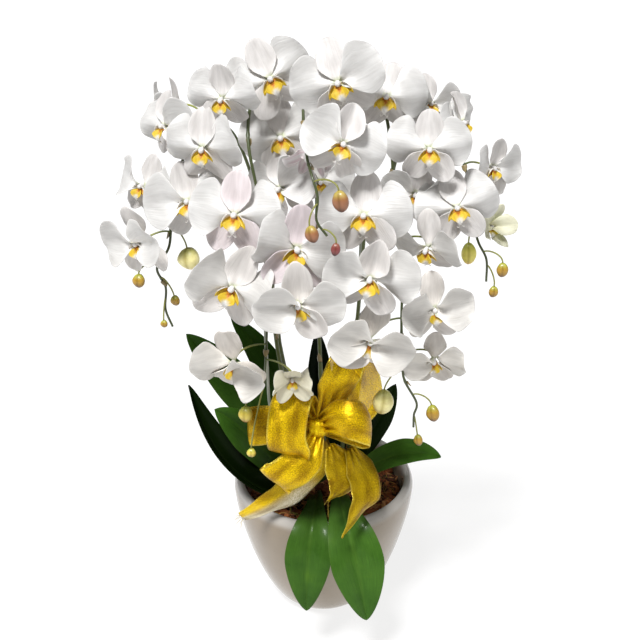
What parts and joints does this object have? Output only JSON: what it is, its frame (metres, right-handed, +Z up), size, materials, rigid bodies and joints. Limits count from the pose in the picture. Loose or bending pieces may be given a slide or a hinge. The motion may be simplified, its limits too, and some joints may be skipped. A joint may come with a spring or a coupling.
{
  "type": "potted orchid",
  "caption": "White moth orchid in a round glazed pot: arching spikes of flowers and buds, strap leaves, bark medium, support stakes and a gold ribbon bow.",
  "frame": {"origin": "centre of the pot's flat base, on the surface that it stands on", "axes": "+Z up along the pot's axis, -Y towards the side that the bow and most flowers face, +X to that viewer's right"},
  "size_m": [0.4008, 0.2934, 0.6416],
  "materials": {
    "glaze": "smooth off-white glaze",
    "bark": "rough bark chips and fibre",
    "leaf": "waxy gloss",
    "stem": "smooth green stem",
    "petals": "soft satin petal",
    "stake": "matt coating",
    "ribbon": "sheer satin organza"
  },
  "bodies": {
    "root": {"flower_centre_1": "petals", "flower_centre_2": "petals", "flower_centre_3": "petals", "flower_centre_4": "petals", "flower_centre_5": "petals", "flower_front_left_1": "petals", "flower_front_left_2": "petals", "flower_front_left_3": "petals", "flower_front_left_4": "petals", "flower_front_left_5": "petals", "flower_front_left_6": "petals", "flower_front_left_7": "petals", "flower_front_left_8": "petals", "flower_front_right_1": "petals", "flower_front_right_2": "petals", "flower_front_right_3": "petals", "flower_front_right_4": "petals", "flower_front_right_5": "petals", "flower_front_right_6": "petals", "flower_front_right_7": "petals", "flower_front_right_8": "petals", "flower_left_1": "petals", "flower_left_2": "petals", "flower_left_3": "petals", "flower_left_4": "petals", "flower_left_5": "petals", "flower_left_6": "petals", "flower_left_7": "petals", "flower_right_1": "petals", "flower_right_2": "petals", "flower_right_3": "petals", "flower_right_4": "petals", "flower_right_5": "petals", "flower_right_6": "petals", "growing_medium": "bark", "leaf_back_left": "leaf", "leaf_back_long": "leaf", "leaf_back_right": "leaf", "leaf_back_upright": "leaf", "leaf_front_left": "leaf", "leaf_front_right": "leaf", "leaf_inner_dark": "leaf", "leaf_left_bright": "leaf", "leaf_left_high": "leaf", "leaf_left_long": "leaf", "leaf_right_dark": "leaf", "leaf_right_low": "leaf", "pot": "glaze", "ribbon_bow": "ribbon", "ribbon_tail_left": "ribbon", "ribbon_tail_middle": "ribbon", "ribbon_tail_right": "ribbon", "spike_centre": "stem", "spike_front_left": "stem", "spike_front_right": "stem", "spike_left": "stem", "spike_right": "stem", "stake_left": "stake", "stake_right": "stake"}
  },
  "joints": []
}
